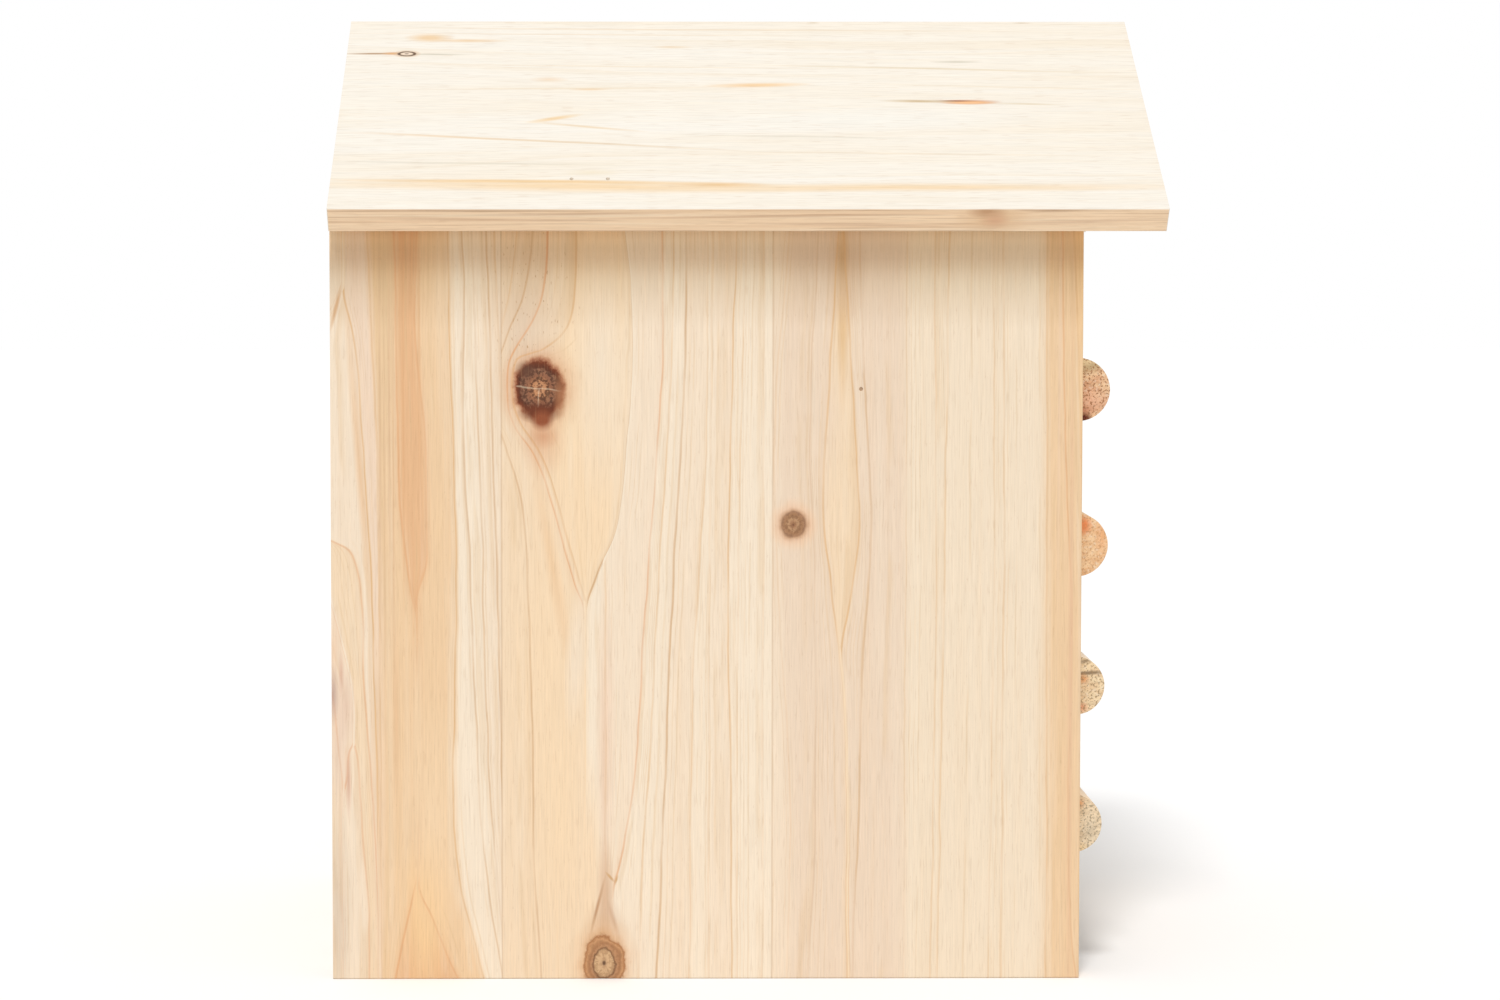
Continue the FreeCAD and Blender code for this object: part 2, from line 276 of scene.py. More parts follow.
PALE_KNOT = (
    (0.0, (0.104, 0.056, 0.036), 1.0), (0.06, (0.208, 0.113, 0.064), 1.0),
    (0.12, (0.645, 0.414, 0.232), 1.0), (0.44, (0.686, 0.451, 0.248), 1.0),
    (0.51, (0.208, 0.103, 0.052), 1.0), (0.6, (0.52, 0.273, 0.136), 1.0),
    (0.72, (0.437, 0.207, 0.096), 1.0), (0.86, (0.603, 0.32, 0.152), 1.0),
    (0.97, (0.416, 0.188, 0.08), 1.0), (1.06, (0.707, 0.414, 0.216), 0.7),
    (1.35, (0.811, 0.517, 0.296), 0.3), (1.8, LATE, 0.0),
)
EYE_KNOT = (
    (0.0, (0.3, 0.22, 0.17), 1.0), (0.2, (0.36, 0.26, 0.2), 1.0), (0.3, (0.82, 0.68, 0.54), 1.0),
    (0.62, (0.78, 0.62, 0.47), 1.0), (0.76, (0.14, 0.09, 0.06), 1.0), (0.98, (0.18, 0.11, 0.07), 1.0),
    (1.12, (0.6, 0.42, 0.27), 0.6), (1.7, LATE, 0.0),
)
PANEL_KNOTS = (
    {"along": 214.7, "across": 75.2, "long": 9.9, "wide": 8.5, "rings": 3.4, "paint": DARK_KNOT,
     "dark": (0.075, 0.03, 0.018), "mottle": 0.8, "check": 0.36},
    {"along": 165.4, "across": 166.8, "long": 5.2, "wide": 4.9, "rings": 2.6, "paint": SMALL_KNOT,
     "dark": (0.24, 0.12, 0.06), "mottle": 0.6},
    {"along": 5.8, "across": 98.4, "long": 10.2, "wide": 7.5, "rings": 3.0, "paint": PALE_KNOT,
     "dark": (0.36, 0.18, 0.085), "mottle": 0.5},
)
ROOF_KNOTS = (
    {"along": -127.2, "across": 100.8, "long": 3.5, "wide": 1.6, "paint": EYE_KNOT, "mottle": 0.0},
)

# Marks on the eave edge: (mm from the middle, mm above the board's top face, then as PANEL_PATCHES)
EAVE_MARKS = (
    (87.3, -4, 15, 8, (0.8, 0.53, 0.31), 0.6), (85, -1.2, 8, 3.4, (0.62, 0.37, 0.21), 0.75),
    (88, -5, 6, 4, (0.76, 0.46, 0.28), 0.7), (108, -0.5, 14, 1.2, (0.6, 0.4, 0.25), 0.7),
    (-105, -0.8, 60, 0.8, (0.62, 0.42, 0.27), 0.6), (-60, -2.2, 50, 0.9, (0.7, 0.48, 0.31), 0.6, 1),
    (-100, -4.6, 60, 0.8, (0.74, 0.51, 0.33), 0.6, -1), (0, -3.4, 70, 0.8, (0.7, 0.47, 0.3), 0.6, 1),
    (40, -7.0, 60, 1.0, (0.76, 0.53, 0.35), 0.5, -1), (120, -5.5, 36, 1.2, (0.8, 0.57, 0.38), 0.6, 2),
)

# Marks on the near roof board: (mm from the middle along the ridge, mm up the slope, then as PANEL_PATCHES)
ROOF_GREY = (0.60, 0.55, 0.44)
ROOF_MARKS = (
    (-119, 112, 10, 3.6, (0.81, 0.6, 0.38), 0.85), (-104, 110, 18, 1.5, (0.8, 0.58, 0.36), 0.6),
    (-139, 100.8, 15, 0.8, (0.46, 0.29, 0.17), 0.8), (-132.5, 100.9, 5, 1.3, (0.7, 0.4, 0.2), 0.8),
    (-116, 100.3, 16, 0.8, ROOF_GREY, 0.6, -1), (-26, 105.6, 9, 1.2, (0.8, 0.62, 0.42), 0.5),
    (-72.5, 83, 8, 2.2, (0.82, 0.64, 0.46), 0.5), (-57, 76.5, 9, 1.1, (0.82, 0.6, 0.38), 0.55, 1),
    (6, 79.4, 22, 2.0, (0.84, 0.6, 0.36), 0.8, 1), (-70, 77, 70, 0.8, (0.76, 0.62, 0.44), 0.35, 1),
    (84.7, 67.9, 13, 1.9, (0.62, 0.3, 0.15), 0.9), (84.5, 67.5, 11, 1.2, (0.86, 0.5, 0.26), 1.0),
    (79, 68.6, 9, 0.7, (0.36, 0.15, 0.08), 0.9), (66, 68.4, 16, 1.2, (0.62, 0.48, 0.3), 0.8, -1),
    (106, 66.8, 16, 0.8, (0.68, 0.56, 0.38), 0.5, -2), (-70, 56.9, 12, 1.7, (0.83, 0.62, 0.38), 0.8, 15),
    (-58, 51.4, 26, 1.0, (0.79, 0.62, 0.42), 0.6, -8.5), (-70, 41.7, 80, 0.9, (0.74, 0.58, 0.4), 0.6, -5),
    (-110, 45, 44, 1.0, (0.8, 0.6, 0.4), 0.4, -4), (74, 90.3, 78, 0.9, (0.72, 0.6, 0.42), 0.55, -2.4),
    (82, 95, 11, 0.8, ROOF_GREY, 0.7), (-40, 92, 110, 0.7, (0.78, 0.65, 0.48), 0.35, -1),
    (-75, 16.4, 85, 1.5, (0.8, 0.55, 0.28), 0.8, -1), (-60, 13.4, 110, 4.4, (0.85, 0.65, 0.42), 0.75, -1),
    (60, 12.8, 110, 3.2, (0.84, 0.655, 0.44), 0.75), (-10, 14.6, 20, 2.0, (0.78, 0.53, 0.28), 0.6),
    (50, 56, 60, 8, (0.85, 0.81, 0.73), 0.7), (-20, 118, 150, 0.8, (0.78, 0.63, 0.46), 0.5, -0.5),
    (-60, 114.5, 110, 0.7, (0.78, 0.63, 0.46), 0.4, -0.6), (29.1, 122.9, 3, 0.7, (0.6, 0.48, 0.34), 0.5),
    (109.7, 122.9, 4, 0.6, (0.62, 0.5, 0.36), 0.5), (-56, 22, 12, 2.5, (0.8, 0.7, 0.52), 0.4),
    (-100, 28, 70, 0.9, ROOF_GREY, 0.35, -1.5), (60, 34, 90, 0.9, (0.78, 0.66, 0.5), 0.4, -1),
    (20, 45, 60, 0.8, ROOF_GREY, 0.3, -1.5), (100, 78, 60, 0.7, (0.78, 0.66, 0.5), 0.4, -2),
)

# The bars' woods, top to bottom: the round side, then the sawn end with its pith, ring width and patches,
# which are (mm above the middle, mm in front of the front board, then as PANEL_PATCHES)
BAR_WOODS = (
    {"pale": SAND, "warm": TAN, "end": (0.9, 0.62, 0.38), "end_warm": (0.76, 0.44, 0.26),
     "end_dark": (0.36, 0.17, 0.08), "pith": (-22, -6), "ring": 1.9, "seed": 81.0, "specks": 0.9,
     "patches": (
         (8.6, 5, 3.2, 10, (0.58, 0.44, 0.25), 0.8, -14), (10, 2, 2, 9, (0.86, 0.7, 0.42), 0.6, -14),
         (-4, 5, 6, 9, (0.84, 0.5, 0.33), 0.6), (-7.5, 2, 2.4, 4.5, (0.62, 0.3, 0.18), 0.7),
         (-10.6, 2, 2.8, 3.8, (0.13, 0.03, 0.018), 1.0),
     )},
    {"pale": SAND, "warm": TAN, "end": (0.93, 0.66, 0.4), "end_warm": (0.84, 0.53, 0.29),
     "end_dark": (0.56, 0.31, 0.15), "pith": (14, -14), "ring": 2.6, "seed": 87.0, "specks": 0.65,
     "patches": (
         (7.2, 2.2, 4.2, 3.8, (0.84, 0.3, 0.12), 0.9), (3, 9, 9, 3, (0.88, 0.46, 0.22), 0.5),
     )},
    {"pale": CREAM, "warm": SAND, "end": (0.94, 0.76, 0.5), "end_warm": (0.86, 0.64, 0.4),
     "end_dark": (0.36, 0.24, 0.13), "pith": (30, 4), "ring": 3.0, "seed": 93.0, "specks": 0.8,
     "patches": (
         (4.6, 4, 1.0, 9, (0.33, 0.24, 0.15), 0.9, -4), (9, 3, 1.2, 6, (0.4, 0.32, 0.22), 0.6, -10),
         (2.4, 2.4, 2.4, 3, (0.8, 0.42, 0.2), 0.8), (-8, 2.2, 2.2, 2.6, (0.84, 0.44, 0.26), 0.8),
     )},
    {"pale": CREAM, "warm": SAND, "end": (0.94, 0.77, 0.54), "end_warm": (0.78, 0.62, 0.42),
     "end_dark": (0.36, 0.29, 0.19), "pith": (-16, 16), "ring": 2.0, "seed": 99.0, "specks": 0.8,
     "patches": (
         (7.4, 1.6, 2.4, 2.4, (0.78, 0.42, 0.2), 0.7), (-3, 5, 8, 4, (0.68, 0.6, 0.46), 0.4),
         (-9, 2.5, 2.4, 3, (0.9, 0.7, 0.42), 0.6),
     )},
)


class Wire:
    """One node output that takes part in plain sums."""

    def __init__(self, board, socket):
        self.board = board
        self.socket = socket

    def __add__(self, other):
        return self.board.math("ADD", self, other)

    def __sub__(self, other):
        return self.board.math("SUBTRACT", self, other)

    def __mul__(self, other):
        return self.board.math("MULTIPLY", self, other)

    def __truediv__(self, other):
        return self.board.math("DIVIDE", self, other)

    def __rsub__(self, other):
        return self.board.math("SUBTRACT", other, self)

    __radd__ = __add__


class Workboard:
    """Places nodes in one tree and joins them, so that a finish reads from the top down."""

    def __init__(self, tree):
        self.tree = tree

    def put(self, value, socket):
        """Sets a socket to a number, a colour or another node's output."""
        if isinstance(value, Wire):
            self.tree.links.new(value.socket, socket)
        elif isinstance(value, (tuple, list)) and len(value) == 3 and socket.type == "RGBA":
            socket.default_value = (*value, 1)
        else:
            socket.default_value = value

    def place(self, kind, inputs, **settings):
        """Places a node with its settings and inputs, and gives it back."""
        made = self.tree.nodes.new(kind)
        for name, setting in settings.items():
            setattr(made, name, setting)
        for key, value in inputs.items():
            self.put(value, made.inputs[key])
        return made

    def node(self, kind, inputs, output=0, **settings):
        """Places a node and gives back one of its outputs."""
        return Wire(self, self.place(kind, inputs, **settings).outputs[output])

    def outputs(self, made):
        """All the named outputs of a node."""
        return {socket.name: Wire(self, socket) for socket in made.outputs if socket.name}

    def math(self, operation, *values, clamp=False):
        return self.node("ShaderNodeMath", dict(enumerate(values)), operation=operation, use_clamp=clamp)

    def root_of_squares(self, a, b):
        return self.math("SQRT", a * a + b * b)

    def dot(self, a, b):
        return self.node("ShaderNodeVectorMath", {0: a, 1: b}, output=1, operation="DOT_PRODUCT")

    def scaled(self, vector, level):
        """A vector or a colour times a level."""
        return self.node("ShaderNodeVectorMath", {0: vector, "Scale": level}, operation="SCALE")

    def point(self, x, y, z):
        return self.node("ShaderNodeCombineXYZ", {0: x, 1: y, 2: z})

    def split(self, vector):
        """The three parts of a vector."""
        return self.outputs(self.place("ShaderNodeSeparateXYZ", {0: vector})).values()

    def between(self, value, low, high):
        """0 below low, 1 above high, smooth between; it falls where low is above high."""
        inputs = {"Value": value, "From Min": low, "From Max": high}
        if isinstance(low, (int, float)) and low > high:
            inputs = {"Value": value, "From Min": high, "From Max": low, "To Min": 1.0, "To Max": 0.0}
        return self.node("ShaderNodeMapRange", inputs, interpolation_type="SMOOTHSTEP")

    def share(self, value, low, high):
        """How far value has come from low to high, from 0 to 1."""
        return self.node("ShaderNodeMapRange", {"Value": value, "From Min": low, "From Max": high})

    def mix(self, first, second, share):
        inputs = {0: share, 6: first, 7: second}
        return self.node("ShaderNodeMix", inputs, output=2, data_type="RGBA")

    def tint(self, colour, paint, value, low, high, strength):
        """The colour, painted over where value has come from low to high."""
        return self.mix(colour, paint, self.between(value, low, high) * strength)

    def noise(self, x, y, z, detail=2.0, roughness=0.5):
        """Smooth noise from 0 to 1 whose grains are about one unit apart."""
        inputs = {"Vector": self.point(x, y, z), "Scale": 1.0, "Detail": detail, "Roughness": roughness}
        return self.node("ShaderNodeTexNoise", inputs, noise_dimensions="3D")

    def ramp(self, value, stops, interpolation="LINEAR"):
        """Colour and strength along value, from stops of (place, colour, strength)."""
        made = self.place("ShaderNodeValToRGB", {0: value})
        band = made.color_ramp
        band.interpolation = interpolation
        while len(band.elements) < len(stops):
            band.elements.new(1.0)
        for element, (place, colour, strength) in zip(band.elements, stops):
            element.position = place
            element.color = (*colour, strength)
        return self.outputs(made).values()

    def group(self, tree, inputs):
        """Places a shared group and gives back its outputs by name."""
        return self.outputs(self.place("ShaderNodeGroup", inputs, node_tree=tree))


def shared_group(name, inputs, outputs, build):
    """A shader node group, built once: inputs are names with their defaults, outputs are names."""
    tree = bpy.data.node_groups.get(name)
    if tree:
        return tree
    tree = bpy.data.node_groups.new(name, "ShaderNodeTree")
    for title, default in inputs.items():
        socket = tree.interface.new_socket(title, in_out="INPUT", socket_type="NodeSocketFloat")
        socket.default_value = default
    for title in outputs:
        tree.interface.new_socket(title, in_out="OUTPUT", socket_type="NodeSocketFloat")
    board = Workboard(tree)
    given = board.outputs(tree.nodes.new("NodeGroupInput"))
    board.place("NodeGroupOutput", build(board, given))
    return tree


def fibres(board, along, across, depth, seed):
    """Fine fibre, short resin flecks and a slow change of tone, all drawn out along the grain."""
    def build(board, given):
        along, across, depth, seed = given.values()
        fibre = board.noise(along * 0.045 + seed, across * 1.6, depth * 1.6, detail=2, roughness=0.7)
        fleck = board.noise(along * 0.13, across * 1.9 + seed, depth * 1.9, detail=0)
        tone = board.noise(along * 0.004, across * 0.045 + seed, depth * 0.045, detail=2, roughness=0.6)
        return {
            "Fibre": fibre,
            "Fleck": board.between(fleck, 0.62, 0.76),
            "Tone": board.between(tone, 0.30, 0.70),
        }

    inputs = {"Along": along, "Across": across, "Depth": depth, "Seed": seed}
    tree = shared_group("wood_fibre", dict.fromkeys(inputs, 0.0), ("Fibre", "Fleck", "Tone"), build)
    return board.group(tree, inputs)


def growth_rings(board, inputs):
    """Growth rings of a trunk whose pith lies beside the board. Inputs left out keep their defaults."""
    def build(board, given):
        along, seed = given["Along"], given["Seed"]
        across = given["Across"] - given["Pith Across"]
        depth = given["Depth"] - given["Pith Depth"]
        bend = board.noise(along * 0.0055, across * 0.012, seed, detail=1) - 0.5
        lean = board.noise(along * 0.004, seed, depth * 0.02, detail=1) - 0.5
        radius = board.root_of_squares(across + bend * given["Wander"], depth + lean * given["Wander"])
        radius = radius + along * given["Taper"]
        growth = radius / given["Ring Width"] + given["Bulge"]
        growth = growth + board.noise(radius * 0.09, seed, 0.0, detail=1) * 3.0
        ring = board.math("FLOOR", growth)
        phase = growth - ring
        late = board.between(phase, 0.25, 0.9) * board.between(phase, 1.0, 0.93)
        strength = board.noise(ring * 1.37 + seed, along * 0.006, 0.0, detail=0)
        return {"Late": late * board.between(strength, 0.25, 0.72)}

    defaults = {
        "Along": 0.0, "Across": 0.0, "Depth": 0.0, "Pith Across": 0.0, "Pith Depth": -60.0,
        "Ring Width": 3.0, "Wander": 12.0, "Taper": 0.0, "Bulge": 0.0, "Seed": 0.0,
    }
    tree = shared_group("growth_rings", defaults, ("Late",), build)
    return board.group(tree, inputs)["Late"]


def knot_group():
    """How far a point lies from a knot's centre, the knot's mottled rings and the checks across it."""
    def build(board, given):
        along = given["Along"] - given["Centre Along"]
        across = given["Across"] - given["Centre Across"]
        wobble, crumb = given["Wobble"] - 0.5, given["Crumb"] - 0.5
        reach = board.root_of_squares(along / given["Long"], across / given["Wide"])
        uneven = (wobble * 0.42 + crumb * 0.16) * board.between(reach, 0.1, 0.7)
        reach = board.math("MAXIMUM", reach + uneven, 0.0)
        rings = board.math("SINE", (reach * given["Ring Count"] + crumb * 0.35) * math.tau) * 0.5 + 0.5
        turn = board.math("ARCTAN2", along, across)
        rays = board.noise(turn * 3.5, reach * 1.5, 7.0, detail=1)
        level = board.math("ABSOLUTE", along + across * 0.10 + wobble * 1.4)
        upright = board.math("ABSOLUTE", across - along * 0.05 + wobble * 1.4) * 1.5
        upright = upright + board.math("GREATER_THAN", along, 0.0)
        check = board.between(board.math("MINIMUM", level, upright), 0.42, 0.10)
        return {
            "Reach": reach / KNOT_REACH,
            "Mottle": board.between(crumb * 1.6 + rings * 0.26 + rays * 0.8, 0.40, 0.72)
                      * board.between(reach, 0.06, 0.16),
            "Check": check * board.between(reach, 1.02, 0.9),
        }

    defaults = {
        "Along": 0.0, "Across": 0.0, "Centre Along": 0.0, "Centre Across": 0.0, "Long": 5.0, "Wide": 5.0,
        "Ring Count": 4.0, "Wobble": 0.5, "Crumb": 0.5,
    }
    return shared_group("wood_knot", defaults, ("Reach", "Mottle", "Check"), build)


def cleared(owner):
    """The board of a material or a world whose own nodes are taken away."""
    owner.use_nodes = True
    owner.node_tree.nodes.clear()
    return Workboard(owner.node_tree)


def new_finish(name):
    """An empty material and the board to build it on."""
    material = bpy.data.materials.new(name)
    return material, cleared(material)


def place_mm(board):
    """The three object coordinates, in millimetres."""
    spot = board.node("ShaderNodeTexCoord", {}, output="Object")
    return board.split(board.scaled(spot, 1 / MM))


def faces(board, direction, low=0.6, high=0.8):
    """1 on the faces square to a direction, 0 on the others."""
    normal = board.node("ShaderNodeTexCoord", {}, output="Normal")
    return board.between(board.math("ABSOLUTE", board.dot(normal, direction)), low, high)


def finish_surface(board, colour, roughness, height, relief_mm, specular=0.18, metallic=0.0):
    """The surface shader: colour, roughness and a bump as deep as relief_mm."""
    bump = board.node("ShaderNodeBump", {"Strength": 1.0, "Distance": relief_mm * MM, "Height": height})
    surface = board.node("ShaderNodeBsdfPrincipled", {
        "Specular IOR Level": specular, "Metallic": metallic, "Base Color": colour, "Roughness": roughness,
        "Normal": bump,
    })
    board.place("ShaderNodeOutputMaterial", {"Surface": surface})


def knots_over(board, colour, along, across, knots):
    """Paints knots over the wood. Each has its centre, half sizes, ring count and paints."""
    if not knots:
        return colour
    wobble = board.noise(along * 0.17, across * 0.17, 2.0, detail=2, roughness=0.6)
    crumb = board.noise(along * 0.9, across * 0.9, 5.0, detail=2, roughness=0.7)
    for knot in knots:
        parts = board.group(knot_group(), {
            "Along": along, "Across": across, "Centre Along": knot["along"],
            "Centre Across": knot["across"], "Long": knot["long"], "Wide": knot["wide"],
            "Ring Count": knot.get("rings", 3.0), "Wobble": wobble, "Crumb": crumb,
        })
        stops = [(reach / KNOT_REACH, paint, strength) for reach, paint, strength in knot["paint"]]
        paint, cover = board.ramp(parts["Reach"], stops)
        inside = board.between(parts["Reach"], 1.0 / KNOT_REACH, 0.8 / KNOT_REACH)
        mottle = parts["Mottle"] * inside * knot.get("mottle", 0.4)
        paint = board.mix(paint, knot.get("dark", KNOT_DARK), mottle)
        if "check" in knot:
            paint = board.mix(paint, SAND, parts["Check"] * knot["check"])
        colour = board.mix(colour, paint, cover)
    return colour


def nearness(board, face, gain, along, across, long, wide, turn=0):
    """Gain at a place on the face, but 1 at most, and 0 past its half length and half width.

    Turn is in degrees.
    """
    spot = board.node("ShaderNodeMapping", {
        "Vector": face, "Location": (along, across, 0.0), "Scale": (long, wide, 1.0),
        "Rotation": (0.0, 0.0, math.radians(turn)),
    }, vector_type="TEXTURE")
    near = board.node("ShaderNodeTexGradient", {"Vector": spot}, output=1, gradient_type="SPHERICAL")
    return board.math("MULTIPLY", near, gain, clamp=True)


def painted(board, colour, face, patches):
    """The colour with soft patches: (along, across, half length, half width, paint, strength, turn)."""
    for along, across, long, wide, paint, strength, *turn in patches:
        cover = nearness(board, face, strength * PATCH_GAIN, along, across, long, wide, *turn)
        colour = board.mix(colour, paint, cover)
    return colour


def seamed(board, colour, across, cuts, width, strength):
    """The colour with the fine dark seams between staves."""
    for cut in cuts:
        seam = board.math("ABSOLUTE", across - cut)
        colour = board.tint(colour, DARK_LATE, seam, width, 0.1, strength)
    return colour


def stave_curves(board, height, lines):
    """One growth line of each stave at a height, as three numbers, from a single curve node."""
    made = board.place("ShaderNodeRGBCurve", {"Color": height})
    made.mapping.use_clip = False
    for channel, points in zip(made.mapping.curves, lines):
        places = [(up / PANEL_SPAN, right / PANEL_SPAN) for right, up in points]
        if places[0][0] > 0:
            places.insert(0, (0.0, places[0][1]))
        if places[-1][0] < 1:
            places.append((1.0, places[-1][1]))
        for number, place in enumerate(places):
            if number < 2:
                channel.points[number].location = place
            else:
                channel.points.new(*place)
        for spot in channel.points:
            spot.handle_type = "AUTO_CLAMPED"
    made.mapping.update()
    return Wire(board, made.outputs[0])


def growth_number(board, across, height, staves, which):
    """A number that grows across a stave and is whole on each growth line, and how steeply it grows."""
    step = 0.35 / PANEL_SPAN
    gap = 0.1 / PANEL_SPAN
    margin = 30 / PANEL_SPAN
    behind, ahead, raised = across - step, across + step, height + step
    low, high, above = 0.0, 0.0, 0.0
    edge = edge_raised = None
    for lines in zip(*staves):
        here = board.dot(stave_curves(board, height, lines), which)
        there = board.dot(stave_curves(board, raised, lines), which)
        if edge is None:
            edge, edge_raised = here - margin, there - margin
        here = board.math("MAXIMUM", here, edge + gap)
        low = board.share(behind, edge, here) + low
        high = board.share(ahead, edge, here) + high
        there = board.math("MAXIMUM", there, edge_raised + gap)
        above = board.share(across, edge_raised, there) + above
        edge, edge_raised = here, there
    low = board.share(behind, edge, edge + margin) + low
    high = board.share(ahead, edge, edge + margin) + high
    above = board.share(across, edge_raised, edge_raised + margin) + above
    number = (low + high) * 0.5
    sideways, upward = (high - low) * 0.5, above - number
    slope = board.root_of_squares(sideways, upward) * (1 / (step * PANEL_SPAN))
    return number, board.math("MAXIMUM", slope, 0.02)


def panel_figure(board, across, height, past):
    """Wood tone, line colour, line strength and weak lines between them, over the three staves."""
    count = max(len(lines) for _, lines in STAVES) + 1
    rows = []
    for _, lines in STAVES:
        beyond = max(lines[-1][3][0][0], lines[-1][3][-1][0])
        places = [beyond + SPARE_STEP * number for number in range(1, count - len(lines))]
        spare = [[(right, 0), (right, PANEL_SPAN)] for right in places]
        rows.append([line[3] for line in lines] + spare)
    first, second = past
    which = board.point(1.0 - first, first - second, second)
    number, slope = growth_number(board, across, height, rows, which)
    place = number / count
    tone = paint = strength = None
    for share, (first_tone, lines) in zip((None, *past), STAVES):
        tones = [first_tone] + [line[2] for line in lines]
        stops = []
        for cell, wood in enumerate(tones):
            stops += [((cell + 0.2) / count, wood, 1.0), ((cell + 0.8) / count, wood, 1.0)]
        marks = [(0.0, LATE, 0.0)]
        marks += [((cell + 0.5) / count, LINE_COLOURS[line[0]], line[1]) for cell, line in enumerate(lines)]
        next_tone, _ = board.ramp(place, stops[:MOST_STOPS])
        next_paint, next_strength = board.ramp(place, marks, "CONSTANT")
        if share is None:
            tone, paint, strength = next_tone, next_paint, next_strength
        else:
            tone, paint = board.mix(tone, next_tone, share), board.mix(paint, next_paint, share)
            strength = strength + (next_strength - strength) * share
    alone = board.between(slope, 1.35, 0.9)
    beside = (number - board.math("ROUND", number)) / slope
    sharp = board.between(board.math("ABSOLUTE", beside + 0.1), 0.58, 0.12)
    soft = board.between(beside, -3.2, 0.0) * board.between(beside, 0.4, 0.1) * 0.17
    line = board.math("MAXIMUM", sharp, soft) * strength * alone
    fine = number * 3.0 + board.noise(number * 1.3, 3.0, 0.0, detail=0) * 5.0
    fine_away = board.math("ABSOLUTE", fine - board.math("ROUND", fine)) / (slope * 3.6)
    weak = board.between(fine_away, 0.5, 0.05) * alone * board.between(slope, 0.5, 0.2)
    return tone, paint, line, weak, number


def near_panel_finish(look):
    """The near side panel, whose figure is the one in view."""
    material, board = new_finish("fir_near_side")
    x, y, z = place_mm(board)
    tilt = (y - SIDE_LOW.y) * 0.35
    across_mm = x - BACK_FACE
    sway = board.noise(z * 0.03, across_mm * 0.03, 0.0, detail=2, roughness=0.6) - 0.5
    across = (across_mm + tilt + sway * 1.8) * (1 / PANEL_SPAN)
    height = z * (1 / PANEL_SPAN)
    past = [board.math("GREATER_THAN", across_mm, edge) for edge in GLUE_LINES]
    tone, paint, line, weak, number = panel_figure(board, across, height, past)
    face = board.point(z, across_mm, 0.0)
    for gap in LINE_GAPS:
        kept = 1.0 - nearness(board, face, GAP_GAIN, *gap)
        line, weak = line * kept, weak * kept
    fibre = fibres(board, z, across_mm, y, 4.0)
    streak = board.noise(number * 2.3, z * 0.006, across_mm * 0.25, detail=2)
    fade = board.between(board.noise(z * 0.03, number * 1.7, across_mm * 0.1, detail=1), 0.25, 0.62)
    colour = board.tint(tone, CREAM, streak, 0.45, 0.8, 0.32)
    colour = board.tint(colour, TAN, streak, 0.48, 0.2, 0.17)
    colour = board.mix(colour, FINE_LINE, weak * board.between(fade, 0.3, 1.0) * 0.30)
    colour = painted(board, colour, face, PANEL_PATCHES)
    colour = board.mix(colour, paint, line * (fade * 0.6 + 0.4))
    outer = faces(board, (0, 1, 0))
    colour = board.mix(colour, painted(board, colour, face, PANEL_STAINS), outer)
    colour = knots_over(board, colour, z, across_mm, PANEL_KNOTS)
    colour = painted(board, colour, face, KNOT_STAINS)
    colour = seamed(board, colour, across_mm, GLUE_LINES, 0.5, 0.30)
    torn = board.noise(z * 0.45, across_mm * 1.4, 8.0, detail=1)
    torn_share = nearness(board, face, PATCH_GAIN, *TORN_PLACE) * 0.6 + 0.12
    colour = board.tint(colour, DARK_LATE, torn, 0.66, 0.76, torn_share)
    # Painted shade: the outer face is darkened close under the eave, standing in for the eave's shadow
    eave_shade, _ = board.ramp(height, [(up / PANEL_SPAN, level, 1.0) for up, level in EAVE_SHADE_PAINT])
    shaded_colour = board.node("ShaderNodeVectorMath", {0: colour, 1: eave_shade}, operation="MULTIPLY")
    colour = board.mix(colour, shaded_colour, outer)
    finish_wood(board, colour, look, fibre, (0, 0, 1))
    return material


def near_roof_finish(look):
    """The near roof board: its marks, its knot and the darker grain of its eave edge."""
    material, board = new_finish("fir_near_roof")
    along, across, depth, grain_way = down_roof(1)(board)
    wave = board.noise(along * 0.012, across * 0.04, 6.0, detail=2) - 0.5
    bent = across + wave * 5.0
    late = growth_rings(board, {
        "Along": along, "Across": bent, "Depth": depth, "Pith Across": 60.0, "Pith Depth": -35.0,
        "Ring Width": 5.5, "Taper": 0.02, "Seed": 41.0,
    })
    fibre = fibres(board, along, across, depth, 41.0)
    colour = board.mix(ROOF_PALE, ROOF_WARM, fibre["Tone"])
    colour = board.mix(colour, (0.80, 0.67, 0.50), late * 0.26)
    haze = board.noise(along * 0.01, across * 0.25, 9.0, detail=3, roughness=0.6)
    colour = board.tint(colour, (0.83, 0.72, 0.56), haze, 0.50, 0.68, 0.20)
    colour = board.tint(colour, (0.88, 0.83, 0.75), haze, 0.46, 0.34, 0.3)
    colour = painted(board, colour, board.point(along, across + wave * 1.6, 0.0), ROOF_MARKS)
    colour = knots_over(board, colour, along, across, ROOF_KNOTS)
    eave = faces(board, (0, math.cos(ROOF_PITCH), math.sin(ROOF_PITCH)), 0.7, 0.9)
    layer = board.noise(along * 0.006, depth * 0.45, 12.0, detail=2, roughness=0.6)
    edge = board.tint(EAVE_TAN, EAVE_DARK, layer, 0.52, 0.66, 0.55)
    edge = board.tint(edge, EAVE_PALE, layer, 0.46, 0.32, 0.6)
    vein = board.noise(along * 0.015, depth * 1.3, 14.0, detail=1)
    edge = board.tint(edge, EAVE_LINE, vein, 0.57, 0.68, 0.55)
    lip = board.between(depth, -1.5, -0.2) * board.between(vein, 0.35, 0.6)
    edge = board.mix(edge, EAVE_LINE, lip * 0.5)
    edge = painted(board, edge, board.point(along, depth, 0.0), EAVE_MARKS)
    colour = board.mix(colour, edge, eave)
    finish_wood(board, colour, look, fibre, grain_way)
    return material


